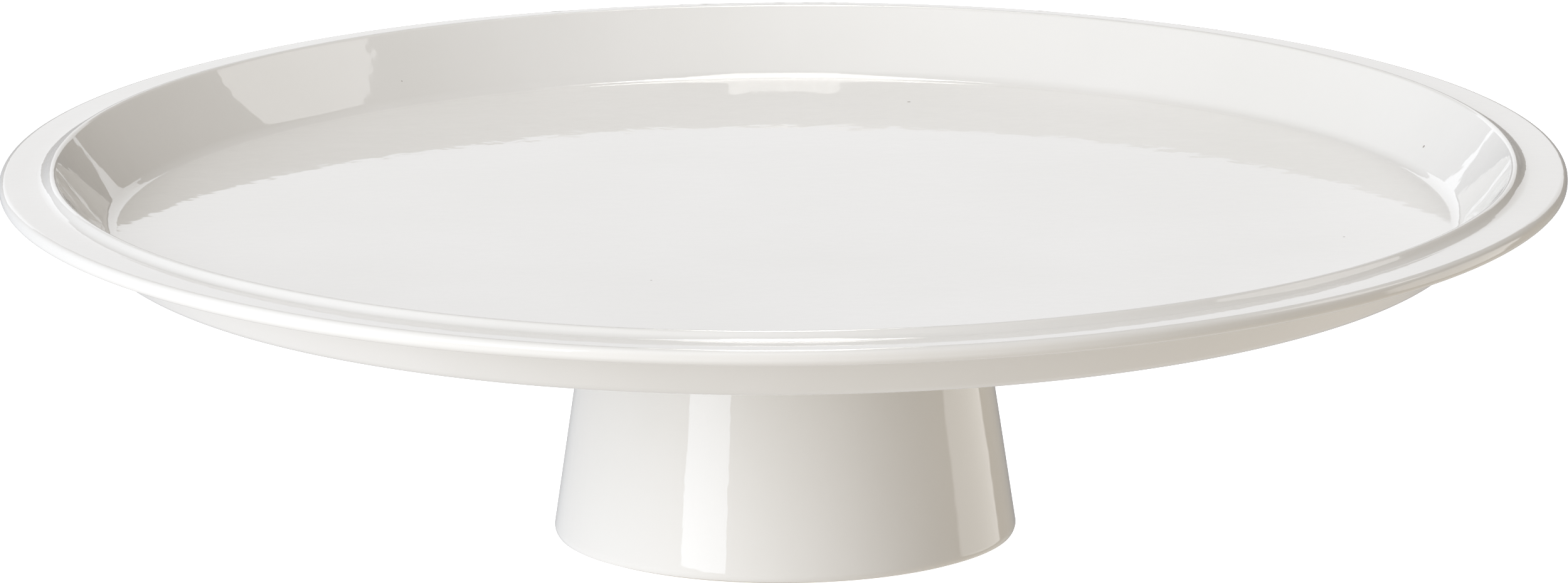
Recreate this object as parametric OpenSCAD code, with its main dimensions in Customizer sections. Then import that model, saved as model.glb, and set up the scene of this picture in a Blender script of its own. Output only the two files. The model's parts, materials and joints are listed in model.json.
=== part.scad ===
// Round glazed ceramic cake stand: a shallow plate luted to a hollow cone foot.
// Millimetres, +Z up. The origin is on the axis, at the table.
// Every outline below is the glazed surface; the clay lies one glaze thickness inside it.

/* [Plate] */
// Diameter over the rim
plate_d = 330; // [300:1:360]
// Height of the flat ledge above the table
ledge_z = 77.9; // [70:0.1:90]
// Thickness of the ledge between its two glazed faces
ledge_t = 3.5; // [3:0.1:4]
// Height of the lip above the ledge
lip_h = 1.7; // [1:0.1:2]
// Radius of the circle along the crown of the lip, as a share of the plate's radius
lip_share = 0.932; // [0.92:0.001:0.94]
// Depth of the well below the crown of the lip
well_depth = 13.6; // [11:0.1:15]
// Slope of the well's wall above the horizontal
wall_slope = 51; // [45:1:60]
// Thickness of the well's wall and of its floor at the wall, glazed
wall_t = 2.9; // [2.6:0.1:4]
// Thickness of the floor over the foot, glazed
seat_t = 4.6; // [4:0.1:6]

/* [Foot] */
// Diameter of the foot's side, carried down to the table
foot_d = 97.9; // [85:0.1:110]
// Slope of the foot's side away from the vertical
foot_lean = 8.35; // [5:0.05:12]
// Thickness of the foot's wall, glazed
foot_wall = 6; // [5.4:0.1:7]
// Radius of the glazed outer edge at the bottom of the foot
foot_edge_r = 2.2; // [1.6:0.1:2.2]

/* [Joint and glaze] */
// Thickness of the glaze coat
glaze_t = 0.35; // [0.25:0.05:0.5]
// Thickness of the slip between the foot and the plate
slip_t = 0.5; // [0.3:0.1:1]
// Radius of the smoothed slip fillet outside the foot
slip_outer_r = 6; // [4:0.5:8]
// Radius of the smoothed slip fillet inside the foot
slip_inner_r = 4; // [3:0.5:6]

/* [Hidden] */

$fn = 180;
ARC_STEPS = 10;              // straight steps in each rounded corner
OUTER_BARE_STEPS = 5;        // steps of the foot's outer bottom edge that are left unglazed
INNER_BARE_STEPS = 6;        // the same at its inner bottom edge
RIM_EDGE_R = 1.5;            // rounding of the rim's two edges
CROWN_SHARE = 0.7;           // rounding of the lip's crown, as a share of its height
COVE_SHARE = 1.5;            // rounding of the hollow between lip and ledge, likewise
COVE_SLOPE = 48;             // steepest slope of the lip's outer side
WELL_FILLET_R = 4;           // well wall into well floor
BELLY_R = 5;                 // well wall into the underside
UNDER_RIM_R = 4;             // well wall into the underside of the ledge
SEAT_SHARE = 0.36;           // flat seat over the foot, as a share of the plate's radius
FOOT_INNER_EDGE_R = 1.6;     // inner edge at the bottom of the foot

plate_r = plate_d / 2;
crown_rounding = lip_h * CROWN_SHARE;
crown_z = ledge_z + lip_h;
floor_z = crown_z - well_depth;
seat_z = floor_z - seat_t;
seat_r = plate_r * SEAT_SHARE;

// sharp corner where the well's wall line and the lip's outer side line meet over the crown
wall_normal = [-sin(wall_slope), cos(wall_slope)];
side_normal = [sin(COVE_SLOPE), cos(COVE_SLOPE)];
crown = [plate_r * lip_share, crown_z - crown_rounding]
    + crown_rounding * (wall_normal + side_normal) / (1 + wall_normal * side_normal);
floor_r = crown.x - (crown.y - floor_z) / tan(wall_slope);
cove_r = crown.x + (crown.y - ledge_z) / tan(COVE_SLOPE);

// where the well's outer wall line meets the level z
function outer_wall_r(z) = floor_r + wall_t / sin(wall_slope) + (z - floor_z) / tan(wall_slope);
function foot_side_r(z) = foot_d / 2 - z * tan(foot_lean);
function foot_hollow_r(z) = foot_side_r(z) - foot_wall / cos(foot_lean);

under_ledge_z = ledge_z - ledge_t;
belly_z = floor_z - wall_t;
belly_r = outer_wall_r(belly_z);

// Outline of the outside, from the foot ring round the rim to the middle of the well.
// Each corner is [radius from the axis, height, rounding]. Clay is on the left of the way along.
OUTSIDE = [
    [foot_side_r(0) - foot_wall / 2, -glaze_t, 0],
    [foot_side_r(-glaze_t), -glaze_t, foot_edge_r],
    [foot_side_r(seat_z), seat_z, slip_outer_r],
    [seat_r, seat_z, 0],
    [belly_r, belly_z, BELLY_R],
    [outer_wall_r(under_ledge_z), under_ledge_z, UNDER_RIM_R],
    [plate_r, under_ledge_z, RIM_EDGE_R],
    [plate_r, ledge_z, RIM_EDGE_R],
    [cove_r, ledge_z, lip_h * COVE_SHARE],
    [crown.x, crown.y, crown_rounding],
    [floor_r, floor_z, WELL_FILLET_R],
    [0, floor_z, 0]
];
FOOT_EDGE = 1;
JOINT = 2;

// Outline of the hollow under the plate, from the foot ring up to the middle of the ceiling.
// Clay is on the right of the way along.
HOLLOW = [
    [foot_side_r(0) - foot_wall / 2, -glaze_t, 0],
    [foot_hollow_r(-glaze_t), -glaze_t, FOOT_INNER_EDGE_R],
    [foot_hollow_r(seat_z), seat_z, slip_inner_r],
    [0, seat_z, 0]
];

function xy(p) = [p.x, p.y];
function unit(v) = v / norm(v);
function right_of(a, b) = let (v = unit(xy(b) - xy(a))) [v.y, -v.x];
function turns_left(a, b, c) = cross(xy(b) - xy(a), xy(c) - xy(b)) > 0;

// corner i of an outline whose legs are all moved d to the right
function moved_corner(path, i, d) =
    let (last = len(path) - 1)
    let (before = right_of(path[max(i, 1) - 1], path[max(i, 1)]))
    let (after = right_of(path[min(i, last - 1)], path[min(i, last - 1) + 1]))
    let (spot = xy(path[i]) + d * (before + after) / (1 + before * after))
    let (sharp = path[i].z == 0)
    let (rounding = sharp ? 0 : path[i].z + (turns_left(path[i - 1], path[i], path[i + 1]) ? d : -d))
    [spot.x, spot.y, rounding];
function moved(path, d) = [for (i = [0 : len(path) - 1]) moved_corner(path, i, d)];

// points of the arc that rounds corner i, leaving out its first steps
function arc(path, i, skipped = 0) =
    let (corner = xy(path[i]), r = path[i].z)
    let (u = unit(xy(path[i - 1]) - corner), v = unit(xy(path[i + 1]) - corner))
    let (half = acos(u * v) / 2)
    let (centre = corner + unit(u + v) * r / sin(half))
    let (start = corner + u * r / tan(half) - centre)
    let (sweep = (180 - 2 * half) * (turns_left(path[i - 1], path[i], path[i + 1]) ? 1 : -1))
    let (a0 = atan2(start.y, start.x))
    [for (k = [skipped : ARC_STEPS])
        let (a = a0 + sweep * k / ARC_STEPS)
        centre + r * [cos(a), sin(a)]];

// points of the rounded outline from corner a to corner b
function rounded(path, a, b, skipped = 0) = [
    for (i = [a : b])
        for (p = path[i].z > 0 ? arc(path, i, i == a ? skipped : 0) : [xy(path[i])])
            p
];
function backwards(points) = [for (i = [len(points) - 1 : -1 : 0]) points[i]];

CLAY_OUT = moved(OUTSIDE, -glaze_t);
CLAY_IN = moved(HOLLOW, glaze_t);
LAST_OUT = len(OUTSIDE) - 1;
LAST_IN = len(HOLLOW) - 1;
clay_seat_z = CLAY_OUT[JOINT].y;
foot_top_z = clay_seat_z - slip_t;

// where the clay's side lines of the foot reach the level z
function clay_side_r(z) = CLAY_OUT[JOINT].x + (clay_seat_z - z) * tan(foot_lean);
function clay_hollow_r(z) = CLAY_IN[JOINT].x + (clay_seat_z - z) * tan(foot_lean);

module turned(points) {
    rotate_extrude()
        polygon(points);
}

// one continuous sheet of glaze between an outline and the clay under it
module coat(glazed, clay, last, bare_steps) {
    turned(concat(
        rounded(glazed, FOOT_EDGE, last, bare_steps),
        backwards(rounded(clay, FOOT_EDGE, last, bare_steps))
    ));
}

module plate_body() {
    color("ivory")
        turned(concat([[0, clay_seat_z]], rounded(CLAY_OUT, JOINT + 1, LAST_OUT)));
}

module foot_body() {
    color("linen")
        turned(concat(
            rounded(CLAY_OUT, FOOT_EDGE, FOOT_EDGE),
            [[clay_side_r(foot_top_z), foot_top_z], [clay_hollow_r(foot_top_z), foot_top_z]],
            backwards(rounded(CLAY_IN, FOOT_EDGE, FOOT_EDGE))
        ));
}

module luting_slip() {
    color("antiquewhite")
        turned(concat(
            [[clay_side_r(foot_top_z), foot_top_z]],
            rounded(CLAY_OUT, JOINT, JOINT),
            backwards(rounded(CLAY_IN, JOINT, JOINT)),
            [[clay_hollow_r(foot_top_z), foot_top_z]]
        ));
}

module glaze_coat() {
    color([0.93, 0.92, 0.90])
        coat(OUTSIDE, CLAY_OUT, LAST_OUT, OUTER_BARE_STEPS);
}

module foot_lining_glaze() {
    color([0.88, 0.87, 0.85])
        coat(HOLLOW, CLAY_IN, LAST_IN, INNER_BARE_STEPS);
}

plate_body();
foot_body();
luting_slip();
glaze_coat();
foot_lining_glaze();
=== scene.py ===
# Round glazed ceramic cake stand: looks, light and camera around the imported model. Metres, +Z up.

import json
import math

import bmesh
import bpy
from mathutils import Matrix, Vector, noise


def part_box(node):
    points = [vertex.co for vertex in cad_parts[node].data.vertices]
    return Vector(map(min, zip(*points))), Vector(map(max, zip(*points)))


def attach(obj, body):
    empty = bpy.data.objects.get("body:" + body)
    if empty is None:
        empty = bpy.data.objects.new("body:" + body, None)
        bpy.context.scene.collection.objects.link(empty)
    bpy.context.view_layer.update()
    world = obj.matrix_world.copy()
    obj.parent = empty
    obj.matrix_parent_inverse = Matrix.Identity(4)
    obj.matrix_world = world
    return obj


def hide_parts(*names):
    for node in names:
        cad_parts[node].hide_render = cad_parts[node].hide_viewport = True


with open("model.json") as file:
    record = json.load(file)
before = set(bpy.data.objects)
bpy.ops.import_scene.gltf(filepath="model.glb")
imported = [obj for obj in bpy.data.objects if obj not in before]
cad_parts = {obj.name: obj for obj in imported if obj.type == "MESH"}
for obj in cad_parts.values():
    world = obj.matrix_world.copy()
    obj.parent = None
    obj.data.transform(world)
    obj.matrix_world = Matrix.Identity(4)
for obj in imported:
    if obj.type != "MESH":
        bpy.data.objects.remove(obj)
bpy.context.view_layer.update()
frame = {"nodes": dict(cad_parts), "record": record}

MM = 0.001

# ---------------------------------------------------------------- sizes from the frame
mounts = {m["name"]: m["pos_m"] for m in frame["record"]["mounts"]}
glaze_low, glaze_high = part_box("glaze_coat")
plate_low, plate_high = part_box("plate_body")
lining_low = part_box("foot_lining_glaze")[0]

RIM_R = glaze_high[0]
LIP_TOP = glaze_high[2]
LEDGE_Z = mounts["ledge"][2]
FLOOR_Z = mounts["well_floor"][2]
GLAZE_T = glaze_high[0] - plate_high[0]
SEAT_Z = plate_low[2] - GLAZE_T     # the glazed ceiling of the foot's hollow
GLAZE_END_Z = glaze_low[2]
LINING_END_Z = lining_low[2]

# ---------------------------------------------------------------- sizes of the glazed outline
LEDGE_T = 3.5 * MM
WALL_T = 2.9 * MM
WALL_SLOPE = math.radians(51)
COVE_SLOPE = math.radians(48)
LIP_R = 0.932 * RIM_R
SEAT_R = 0.36 * RIM_R
FOOT_D = 97.9 * MM
FOOT_LEAN = math.radians(8.35)
FOOT_WALL = 6.0 * MM
FOOT_EDGE_R = 2.2 * MM
FOOT_INNER_EDGE_R = 1.6 * MM
SLIP_OUTER_R = 6.0 * MM
SLIP_INNER_R = 4.0 * MM
RIM_EDGE_R = 1.5 * MM
WELL_FILLET_R = 4.0 * MM
BELLY_R = 5.0 * MM
UNDER_RIM_R = 4.0 * MM
LIP_H = LIP_TOP - LEDGE_Z
CROWN_R = 0.7 * LIP_H
COVE_R = 1.5 * LIP_H

# ---------------------------------------------------------------- fineness
SPOKES = 384                        # steps round the axis
ARC_STEP = math.radians(4)          # step along a rounded corner
FLAT_STEP = 4 * MM                  # longest step along a straight stretch
ON_AXIS = 0.001 * MM                # closer to the axis than this is on it
WAVE_DEPTH = 0.10 * MM              # how far the glaze's surface dips between its high places
WAVE_PER_M = 22.0                   # waves in a metre of surface
WAVE_CONTRAST = 1.6                 # flattens the highest and lowest places
WALL_BOW = 0.20 * MM                # how far the glaze of the well's wall is hollowed at half its height


# ---------------------------------------------------------------- outlines in the (radius, height) plane
def foot_side_r(z):
    return FOOT_D / 2 - z * math.tan(FOOT_LEAN)


def foot_hollow_r(z):
    return foot_side_r(z) - FOOT_WALL / math.cos(FOOT_LEAN)


def crown_corner():
    """The sharp corner over the lip's crown, where the well's wall and the lip's outer side would meet."""
    wall_normal = Vector((-math.sin(WALL_SLOPE), math.cos(WALL_SLOPE)))
    side_normal = Vector((math.sin(COVE_SLOPE), math.cos(COVE_SLOPE)))
    reach = CROWN_R / (1 + wall_normal.dot(side_normal))
    return Vector((LIP_R, LIP_TOP - CROWN_R)) + reach * (wall_normal + side_normal)


def outside_outline():
    """Corners (radius, height, rounding) of the glazed outside, from the foot ring to the well's middle."""
    crown = crown_corner()
    floor_r = crown.x - (crown.y - FLOOR_Z) / math.tan(WALL_SLOPE)
    cove_r = crown.x + (crown.y - LEDGE_Z) / math.tan(COVE_SLOPE)

    def outer_wall_r(z):
        return floor_r + WALL_T / math.sin(WALL_SLOPE) + (z - FLOOR_Z) / math.tan(WALL_SLOPE)

    under_ledge = LEDGE_Z - LEDGE_T
    belly = FLOOR_Z - WALL_T
    return [
        (foot_side_r(0) - FOOT_WALL / 2, -GLAZE_T, 0),
        (foot_side_r(-GLAZE_T), -GLAZE_T, FOOT_EDGE_R),
        (foot_side_r(SEAT_Z), SEAT_Z, SLIP_OUTER_R),
        (SEAT_R, SEAT_Z, 0),
        (outer_wall_r(belly), belly, BELLY_R),
        (outer_wall_r(under_ledge), under_ledge, UNDER_RIM_R),
        (RIM_R, under_ledge, RIM_EDGE_R),
        (RIM_R, LEDGE_Z, RIM_EDGE_R),
        (cove_r, LEDGE_Z, COVE_R),
        (crown.x, crown.y, CROWN_R),
        (floor_r, FLOOR_Z, WELL_FILLET_R),
        (0, FLOOR_Z, 0),
    ]


def hollow_outline():
    """Corners of the glazed hollow in the foot, from the foot ring to the middle of its ceiling."""
    return [
        (foot_side_r(0) - FOOT_WALL / 2, -GLAZE_T, 0),
        (foot_hollow_r(-GLAZE_T), -GLAZE_T, FOOT_INNER_EDGE_R),
        (foot_hollow_r(SEAT_Z), SEAT_Z, SLIP_INNER_R),
        (0, SEAT_Z, 0),
    ]


def turn_at(before, corner, after):
    """Signed turn of the way at a corner: positive to the left."""
    a = (corner - before).normalized()
    b = (after - corner).normalized()
    return math.atan2(a.x * b.y - a.y * b.x, a.dot(b))


def rounded(outline):
    """Points along the outline, each with the unit normal that points to its right-hand side."""
    spots = [Vector(c[:2]) for c in outline]
    points = []
    for i, (spot, corner) in enumerate(zip(spots, outline)):
        before = spots[i - 1] if i else None
        after = spots[i + 1] if i + 1 < len(spots) else None
        if before is None or after is None:
            way = ((after - spot) if before is None else (spot - before)).normalized()
            points.append((spot, Vector((way.y, -way.x))))
            continue
        turn = turn_at(before, spot, after)
        way = (spot - before).normalized()
        normal = Vector((way.y, -way.x))
        if corner[2] == 0:
            points.append((spot, normal))
            continue
        side = 1 if turn > 0 else -1
        start = spot - way * corner[2] * math.tan(abs(turn) / 2)
        centre = start - normal * corner[2] * side
        steps = max(3, round(abs(turn) / ARC_STEP))
        a0 = math.atan2(normal.y, normal.x)
        for k in range(steps + 1):
            a = a0 + turn * k / steps
            out = Vector((math.cos(a), math.sin(a)))
            points.append((centre + out * corner[2] * side, out))
    return points


def filled(points):
    """The same points with long straight stretches divided."""
    dense = [points[0]]
    for (p, n), (q, m) in zip(points, points[1:]):
        steps = max(1, math.ceil((q - p).length / FLAT_STEP))
        for k in range(1, steps + 1):
            dense.append((p.lerp(q, k / steps), n.lerp(m, k / steps).normalized()))
    return dense


# ---------------------------------------------------------------- mesh
def wave(x, y, z):
    """Soft unevenness of a poured glaze, from 0 to 1."""
    n = noise.noise(Vector((x, y, z)) * WAVE_PER_M)
    return 0.5 + 0.5 * max(-1.0, min(1.0, WAVE_CONTRAST * n))


def bow(spot):
    """How much the glaze is hollowed at a point: only on the well's wall, most at half its height."""
    share = (spot.y - FLOOR_Z) / (LIP_TOP - FLOOR_Z)
    on_wall = spot.x < LIP_R and 0 < share < 1
    return WALL_BOW * 4 * share * (1 - share) if on_wall else 0.0


def ring_at(bm, spot_at):
    """The vertices of one turn round the axis, or the one on it. spot_at(angle) is (radius, height)."""
    if spot_at(0).x < ON_AXIS:
        return [bm.verts.new((0, 0, spot_at(0).y))]
    ring = []
    for s in range(SPOKES):
        a = 2 * math.pi * s / SPOKES
        p = spot_at(a)
        ring.append(bm.verts.new((p.x * math.cos(a), p.x * math.sin(a), p.y)))
    return ring


def stitch(bm, low, high):
    """Faces between two rings of the lathe, or between a ring and a point on the axis."""
    for s in range(max(len(low), len(high))):
        t = (s + 1) % max(len(low), len(high))
        if len(high) == 1:
            bm.faces.new((low[s], low[t], high[0]))
        else:
            bm.faces.new((low[s], low[t], high[t], high[s]))


def lathe_skin(name, outline, end_z, out_side):
    """A closed glaze skin turned from an outline: its glazed face, its clay face and the edge between.

    out_side is 1 where the air is on the right of the way along the outline, and -1 where it is on the left.
    """
    points = [(spot, out * out_side) for spot, out in filled(rounded(outline)) if spot.y >= end_z]
    bm = bmesh.new()
    glazed, clay = [], []
    for spot, out in points:
        def glazed_spot(a):
            if spot.x < ON_AXIS:
                return spot
            lift = wave(spot.x * math.cos(a), spot.x * math.sin(a), spot.y)
            return spot - out * (bow(spot) + WAVE_DEPTH * lift)

        glazed.append(ring_at(bm, glazed_spot))
        clay.append(ring_at(bm, lambda a: spot - out * GLAZE_T))
    for rings in (glazed, clay):
        for low, high in zip(rings, rings[1:]):
            stitch(bm, low, high)
    stitch(bm, clay[0], glazed[0])
    bmesh.ops.recalc_face_normals(bm, faces=bm.faces)
    mesh = bpy.data.meshes.new(name)
    bm.to_mesh(mesh)
    bm.free()
    for face in mesh.polygons:
        face.use_smooth = True
    skin = bpy.data.objects.new(name, mesh)
    bpy.context.collection.objects.link(skin)
    return skin


# ---------------------------------------------------------------- materials
WHITE_GLAZE = ((0.86, 0.85, 0.825), (0.83, 0.82, 0.79))     # where it lies thick, and where it runs thin
LINING_GLAZE = ((0.84, 0.83, 0.80), (0.78, 0.765, 0.73))
BARE_CLAY = ((0.78, 0.75, 0.69), (0.66, 0.62, 0.55))        # clean, and soiled
BARE_SLIP = ((0.80, 0.77, 0.72), (0.70, 0.66, 0.60))
SPECK_COLOUR = (0.16, 0.12, 0.09)
SPECK_STRENGTH = 0.7                # how much of the speck's colour shows
SPECK_CELLS_PER_M = 110.0           # each cell may hold one speck
EMPTY_CELLS = 0.93                  # share of the cells that hold none
SPECK_RADII = (0.010, 0.045)        # smallest and largest, in cells
GLAZE_ROUGHNESS = (0.01, 0.045)
CLAY_ROUGHNESS = (0.7, 0.95)


def node(nodes, kind, **values):
    n = nodes.new(kind)
    for key, value in values.items():
        n.inputs[key].default_value = value
    return n


def new_shader(name, **values):
    """A material with one Principled shader."""
    mat = bpy.data.materials.new(name)
    mat.use_nodes = True
    nodes, links = mat.node_tree.nodes, mat.node_tree.links
    nodes.clear()
    out = nodes.new("ShaderNodeOutputMaterial")
    shader = node(nodes, "ShaderNodeBsdfPrincipled", **values)
    links.new(shader.outputs[0], out.inputs[0])
    return mat, nodes, links, shader


def noise_at(nodes, links, where, scale, detail, roughness):
    """Noise with about scale features to the metre."""
    n = node(nodes, "ShaderNodeTexNoise", Scale=scale, Detail=detail, Roughness=roughness)
    links.new(where, n.inputs["Vector"])
    return n.outputs["Fac"]


def maths(nodes, links, operation, a, b):
    """A Math node. Its first input is a socket, the second a socket or a plain number."""
    n = nodes.new("ShaderNodeMath")
    n.operation = operation
    links.new(a, n.inputs[0])
    if isinstance(b, float):
        n.inputs[1].default_value = b
    else:
        links.new(b, n.inputs[1])
    return n.outputs[0]


def spread(nodes, links, source, low, high):
    """A source from 0 to 1, spread from low to high."""
    n = node(nodes, "ShaderNodeMapRange", **{"To Min": low, "To Max": high})
    links.new(source, n.inputs["Value"])
    return n.outputs["Result"]


def two_tone(nodes, links, source, low, high):
    """A colour that goes from one (position, colour) to another."""
    ramp = nodes.new("ShaderNodeValToRGB")
    for element, (position, colour) in zip(ramp.color_ramp.elements, (low, high)):
        element.position = position
        element.color = (*colour, 1)
    links.new(source, ramp.inputs["Fac"])
    return ramp.outputs["Color"]


def bump(nodes, links, height, strength, distance, under=None, pits=False):
    """A bump's normal. With pits, high places are pressed in. under is the bump it is laid over."""
    n = node(nodes, "ShaderNodeBump", Strength=strength, Distance=distance)
    n.invert = pits
    links.new(height, n.inputs["Height"])
    if under is not None:
        links.new(under, n.inputs["Normal"])
    return n.outputs["Normal"]


def speck_mask(nodes, links, where):
    """1 in a few small round spots of different sizes, 0 elsewhere."""
    cells = node(nodes, "ShaderNodeTexVoronoi", Scale=SPECK_CELLS_PER_M, Randomness=1.0)
    links.new(where, cells.inputs["Vector"])
    pick = nodes.new("ShaderNodeSeparateColor")
    links.new(cells.outputs["Color"], pick.inputs["Color"])
    chosen = maths(nodes, links, "GREATER_THAN", pick.outputs["Red"], EMPTY_CELLS)
    radius = spread(nodes, links, pick.outputs["Green"], *SPECK_RADII)
    near = maths(nodes, links, "LESS_THAN", cells.outputs["Distance"], radius)
    return maths(nodes, links, "MULTIPLY", near, chosen)


def glaze_material(name, body, thin):
    """Glossy opaque off-white glaze: uneven tint, a few iron specks, pinholes and a soft orange peel."""
    mat, nodes, links, shader = new_shader(name, IOR=1.5)
    where = nodes.new("ShaderNodeTexCoord").outputs["Object"]

    pool = noise_at(nodes, links, where, 14.0, 3.0, 0.5)
    tint = two_tone(nodes, links, pool, (0.35, thin), (0.65, body))
    speck = speck_mask(nodes, links, where)
    mix = nodes.new("ShaderNodeMix")
    mix.data_type = "RGBA"
    mix.inputs["B"].default_value = (*SPECK_COLOUR, 1)
    links.new(maths(nodes, links, "MULTIPLY", speck, SPECK_STRENGTH), mix.inputs["Factor"])
    links.new(tint, mix.inputs["A"])
    links.new(mix.outputs["Result"], shader.inputs["Base Color"])

    matte = noise_at(nodes, links, where, 60.0, 4.0, 0.6)
    links.new(spread(nodes, links, matte, *GLAZE_ROUGHNESS), shader.inputs["Roughness"])

    peel = bump(nodes, links, noise_at(nodes, links, where, 160.0, 2.0, 0.45), 0.12, 0.4 * MM)
    holes = bump(nodes, links, speck, 0.5, 0.2 * MM, under=peel, pits=True)
    links.new(holes, shader.inputs["Normal"])
    return mat


def clay_material(name, clean, soiled):
    """Bare fired white clay: matte, fine-grained, slightly soiled."""
    mat, nodes, links, shader = new_shader(name, IOR=1.45)
    where = nodes.new("ShaderNodeTexCoord").outputs["Object"]
    grain = noise_at(nodes, links, where, 900.0, 5.0, 0.7)
    soil = noise_at(nodes, links, where, 45.0, 4.0, 0.6)
    links.new(two_tone(nodes, links, soil, (0.3, soiled), (0.62, clean)), shader.inputs["Base Color"])
    links.new(spread(nodes, links, grain, *CLAY_ROUGHNESS), shader.inputs["Roughness"])
    links.new(bump(nodes, links, grain, 0.35, 0.3 * MM), shader.inputs["Normal"])
    return mat


def dress(node_name, mat):
    """Give a carried-over CAD node a material in place of its plain one."""
    obj = frame["nodes"][node_name]
    for slot in obj.material_slots:
        slot.material = mat
    if not obj.material_slots:
        obj.data.materials.append(mat)


# ---------------------------------------------------------------- stage, light and camera
CAMERA_ELEVATION = 13.76            # degrees above the table top
PLATE_SHARE = 0.997                 # share of the picture's width that the plate fills
AIM_RISE = 50.35 * MM               # from the foot's middle to the point aimed at, up the picture
ROLL = math.radians(0.3)            # the camera leans a little, so the left end of the plate looks lower
CAMERA_DISTANCE = 30 * RIM_R        # far enough for the photo's nearly parallel view
SENSOR_WIDTH = 36                   # mm
FLOOR_HALF = 6                      # from the floor's middle to its edges
FLOOR_GAP = 0.2 * MM                # the floor lies this far under the foot ring
DARK_ROOM = (0.07, 0.05, 0.03)      # light from where nothing in the studio shines
BLUE_CHANGE = 1.6                   # how much more warmth changes a light's blue than its red

# Soft patches of light all round: (azimuth, elevation) of the middle, the angle within which it is full, the
# angle beyond which it is gone, brightness, warmth.
GLOWS = (
    ((-90, 0), 0, 107, 0.7, -0.05),        # big window wall on the left
    ((-12, 8), 0, 74, 0.6, 0.05),          # room behind the camera
    ((-8, 62), 8, 32, 0.6, 0.0),           # ceiling over the camera
    ((-45, 45), 0, 45, 0.4, -0.05),        # ceiling by the window
    ((0, 90), 0, 78, 0.05, 0.0),           # ceiling
    ((60, 45), 0, 55, 0.1, 0.0),           # right part of the ceiling
    ((0, -90), 0, 90, 0.3, 0.1),           # table all round
    ((-60, -45), 0, 55, 0.2, -0.1),        # table lit by the window
    ((120, -25), 0, 50, 0.4, 0.12),        # table on the right
    ((180, -45), 0, 60, 0.3, -0.1),        # table behind
    ((116, -4), 17, 20, 1.5, 0.0),         # pale card low on the right
)

# Even rectangles of light: name, azimuths, elevations, distance from the plate, brightness, warmth.
SOFTBOXES = (
    ("backdrop", (155, 205), (9.5, 22), 2.5, 0.95, -0.03),
    ("high_right", (91, 124), (31, 49), 1.6, 2.0, 0.0),
    ("overhead", (172, 188), (40, 82), 1.6, 5.5, 0.02),
    ("window_left", (-54, -29), (-2, 30), 2.0, 3.0, -0.08),
)


def towards(azimuth, elevation):
    """Unit vector from the stand. Azimuth 0 is the camera's side, 90 the right, 180 the back."""
    az, el = math.radians(azimuth), math.radians(elevation)
    return Vector((math.sin(az) * math.cos(el), -math.cos(az) * math.cos(el), math.sin(el)))


def make_floor():
    """A plain white table top. The stand doesn't see it: the studio's light from below is there for it."""
    bm = bmesh.new()
    bmesh.ops.create_grid(bm, x_segments=2, y_segments=2, size=FLOOR_HALF)
    mesh = bpy.data.meshes.new("floor")
    bm.to_mesh(mesh)
    bm.free()
    floor = bpy.data.objects.new("floor", mesh)
    floor.location.z = -FLOOR_GAP
    floor.visible_diffuse = False
    floor.visible_glossy = False
    floor.visible_shadow = False
    bpy.context.collection.objects.link(floor)
    mat = new_shader("floor_white", **{
        "Base Color": (0.8, 0.8, 0.8, 1), "Roughness": 0.9, "Specular IOR Level": 0.0,
        "Emission Color": (1, 1, 1, 1), "Emission Strength": 0.9})[0]
    mesh.materials.append(mat)


def tinted(brightness, warmth):
    """Colour of a light: a positive warmth turns it towards amber, a negative one towards blue."""
    return brightness * (1 + warmth), brightness, brightness * (1 - BLUE_CHANGE * warmth)


def glow(nodes, links, where, place, full, gone, colour, so_far):
    """Add a patch of light to the light so far: full within one angle of its place, gone beyond the other."""
    along = nodes.new("ShaderNodeVectorMath")
    along.operation = "DOT_PRODUCT"
    along.inputs[1].default_value = towards(*place)
    links.new(where, along.inputs[0])
    share = nodes.new("ShaderNodeMapRange")
    share.interpolation_type = "SMOOTHSTEP"
    share.inputs["From Min"].default_value = math.cos(math.radians(gone))
    share.inputs["From Max"].default_value = math.cos(math.radians(full))
    links.new(along.outputs["Value"], share.inputs["Value"])
    add = nodes.new("ShaderNodeMix")
    add.data_type = "RGBA"
    add.blend_type = "ADD"
    add.inputs["A"].default_value = (*DARK_ROOM, 1)
    add.inputs["B"].default_value = (*colour, 1)
    links.new(share.outputs["Result"], add.inputs["Factor"])
    if so_far is not None:
        links.new(so_far, add.inputs["A"])
    return add.outputs["Result"]


def make_world():
    """A soft studio: bright on the left and in front, dim on the right, pale table light from below."""
    world = bpy.data.worlds.new("studio")
    bpy.context.scene.world = world
    world.use_nodes = True
    nodes, links = world.node_tree.nodes, world.node_tree.links
    nodes.clear()
    out = nodes.new("ShaderNodeOutputWorld")
    back = nodes.new("ShaderNodeBackground")
    links.new(back.outputs[0], out.inputs[0])
    where = nodes.new("ShaderNodeTexCoord").outputs["Generated"]
    light = None
    for place, full, gone, brightness, warmth in GLOWS:
        light = glow(nodes, links, where, place, full, gone, tinted(brightness, warmth), light)
    links.new(light, back.inputs["Color"])


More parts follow.
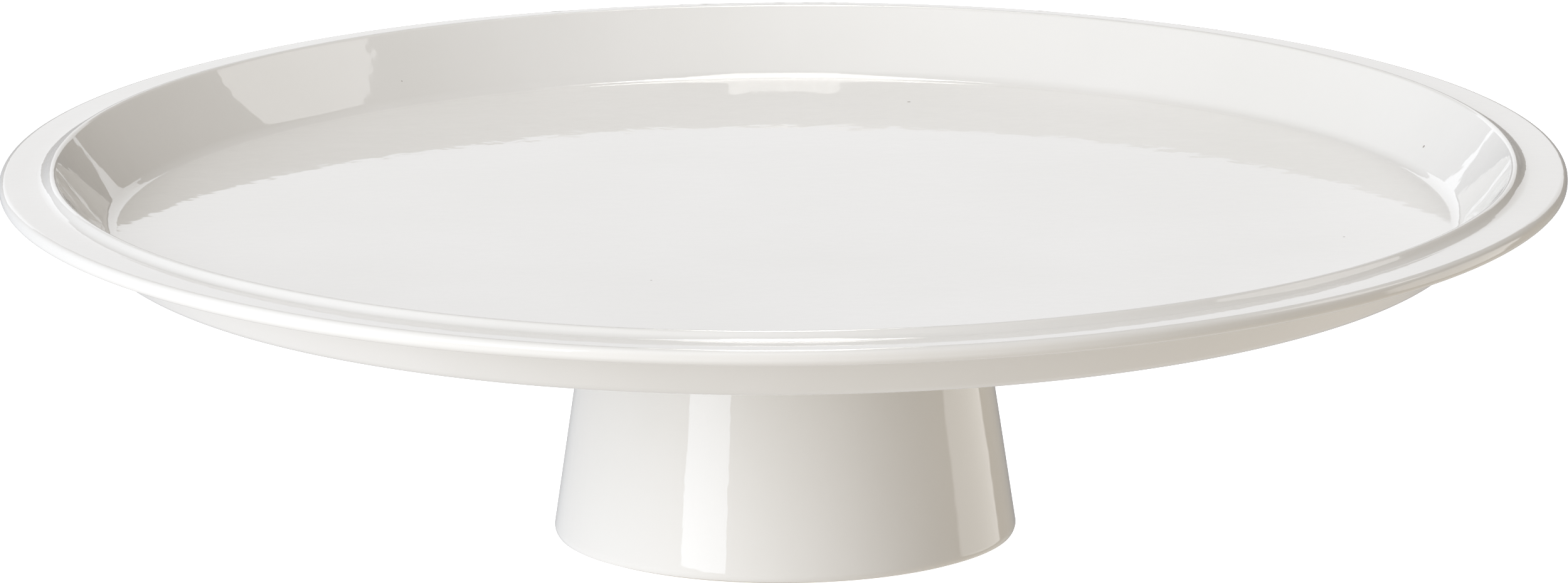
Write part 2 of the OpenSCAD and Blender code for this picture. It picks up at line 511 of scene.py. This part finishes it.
def softbox(name, azimuths, elevations, distance, radiance):
    """An evenly bright rectangular light that fills the given angles as seen from the plate."""
    width_angle = math.radians(azimuths[1] - azimuths[0])
    height_angle = math.radians(elevations[1] - elevations[0])
    azimuth, elevation = sum(azimuths) / 2, sum(elevations) / 2
    data = bpy.data.lights.new(name, "AREA")
    data.shape = "RECTANGLE"
    data.size = 2 * distance * math.tan(width_angle / 2) * math.cos(math.radians(elevation))
    data.size_y = 2 * distance * math.tan(height_angle / 2)
    brightest = max(radiance)
    data.energy = brightest * math.pi * data.size * data.size_y
    data.color = [value / brightest for value in radiance]
    light = bpy.data.objects.new(name, data)
    middle = Vector((0, 0, LEDGE_Z))
    light.location = middle + distance * towards(azimuth, elevation)
    bpy.context.collection.objects.link(light)
    aim(light, middle)


def aim(obj, target):
    obj.rotation_euler = (Vector(target) - obj.location).to_track_quat("-Z", "Y").to_euler()


def make_lights():
    for name, azimuths, elevations, distance, brightness, warmth in SOFTBOXES:
        softbox(name, azimuths, elevations, distance, tinted(brightness, warmth))


def make_camera():
    elevation = math.radians(CAMERA_ELEVATION)
    cam = bpy.data.cameras.new("camera")
    cam.sensor_width = SENSOR_WIDTH
    cam.lens = PLATE_SHARE / 2 * CAMERA_DISTANCE / RIM_R * cam.sensor_width
    obj = bpy.data.objects.new("camera", cam)
    obj.location = CAMERA_DISTANCE * towards(0, CAMERA_ELEVATION)
    bpy.context.collection.objects.link(obj)
    aim(obj, AIM_RISE * Vector((0, math.sin(elevation), math.cos(elevation))))
    obj.rotation_euler.rotate_axis("Z", -ROLL)
    bpy.context.scene.camera = obj


# ---------------------------------------------------------------- build
make_camera()
make_floor()
make_world()
make_lights()
bpy.context.scene.view_settings.view_transform = "Standard"

glaze = glaze_material("glaze_white", *WHITE_GLAZE)
lining = glaze_material("glaze_lining", *LINING_GLAZE)
clay = clay_material("bare_clay", *BARE_CLAY)
slip = clay_material("bare_slip", *BARE_SLIP)

coat = lathe_skin("glaze_skin", outside_outline(), GLAZE_END_Z, 1)
coat.data.materials.append(glaze)
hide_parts("glaze_coat")
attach(coat, "root")

inner = lathe_skin("foot_lining_skin", hollow_outline(), LINING_END_Z, -1)
inner.data.materials.append(lining)
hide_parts("foot_lining_glaze")
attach(inner, "root")

dress("plate_body", clay)
dress("foot_body", clay)
dress("luting_slip", slip)
